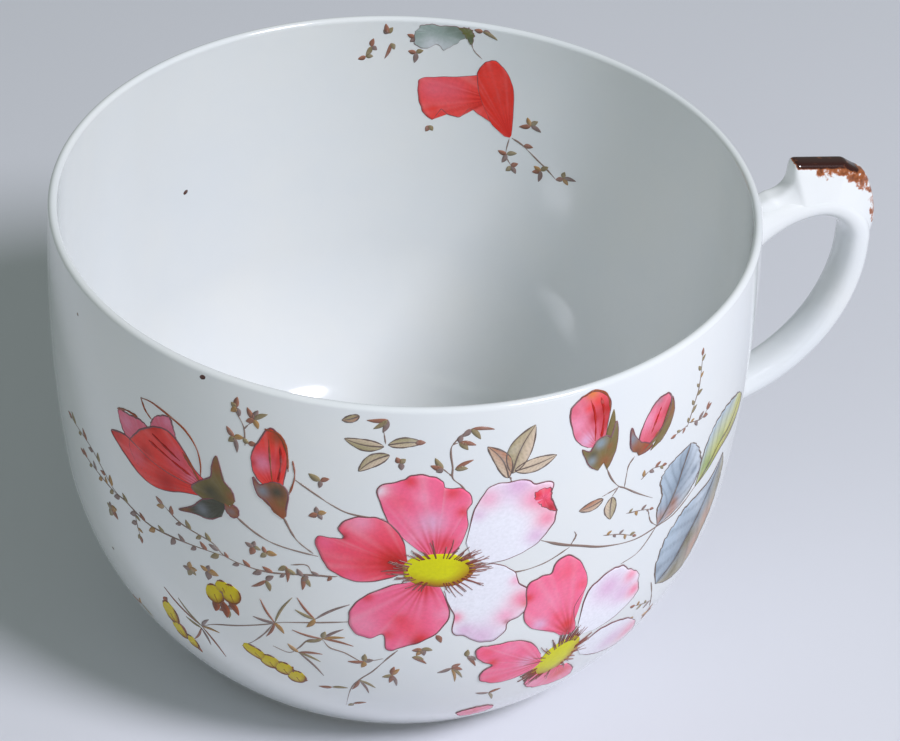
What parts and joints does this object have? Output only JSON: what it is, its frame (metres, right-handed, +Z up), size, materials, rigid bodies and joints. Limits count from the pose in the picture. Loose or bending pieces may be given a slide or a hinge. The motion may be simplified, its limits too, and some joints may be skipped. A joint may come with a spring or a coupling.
{
  "type": "tea cup",
  "caption": "White porcelain tea cup with a near-straight wall curving in to a low foot ring, and a slender loop handle with a bevelled thumb rest.",
  "frame": {"origin": "centre of the foot ring on the table, on the cup's axis", "axes": "+Z up along the cup's axis, +X through the middle of the handle"},
  "size_m": [0.1115, 0.091, 0.065],
  "materials": {
    "porcelain": "gloss",
    "biscuit": "matte",
    "brown_enamel": "gloss",
    "print": "satin"
  },
  "bodies": {
    "root": {"bowl": "porcelain", "foot_ring": "biscuit", "handle_loop": "porcelain", "thumb_rest": "brown_enamel", "upper_lute": "porcelain", "lower_lute": "porcelain"}
  },
  "joints": []
}
